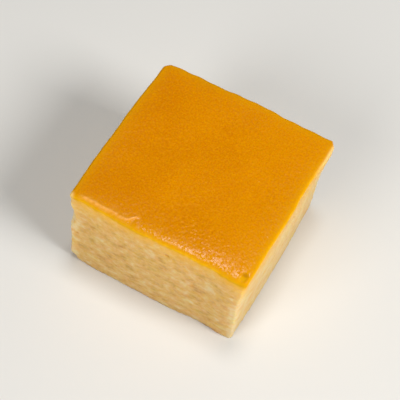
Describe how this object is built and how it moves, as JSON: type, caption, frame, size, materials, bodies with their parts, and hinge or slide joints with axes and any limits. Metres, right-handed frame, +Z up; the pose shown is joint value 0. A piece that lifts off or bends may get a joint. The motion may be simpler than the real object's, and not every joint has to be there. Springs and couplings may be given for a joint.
{
  "type": "cheesecake block",
  "caption": "Square hand-cut block of baked cheesecake: pale, fine-pored crumb under a smooth amber-brown baked skin, with slightly bowed cut faces.",
  "frame": {"origin": "centre of the flat base, under the middle of the block's bounding box", "axes": "+Z up through the baked skin, +X along the slightly longer side, -Y out of the front cut face"},
  "size_m": [0.0588, 0.057, 0.0375],
  "materials": {
    "crumb": "matte, finely pored",
    "baked_skin": "satin, finely dimpled"
  },
  "bodies": {
    "root": {"cheesecake": "crumb"}
  },
  "joints": []
}
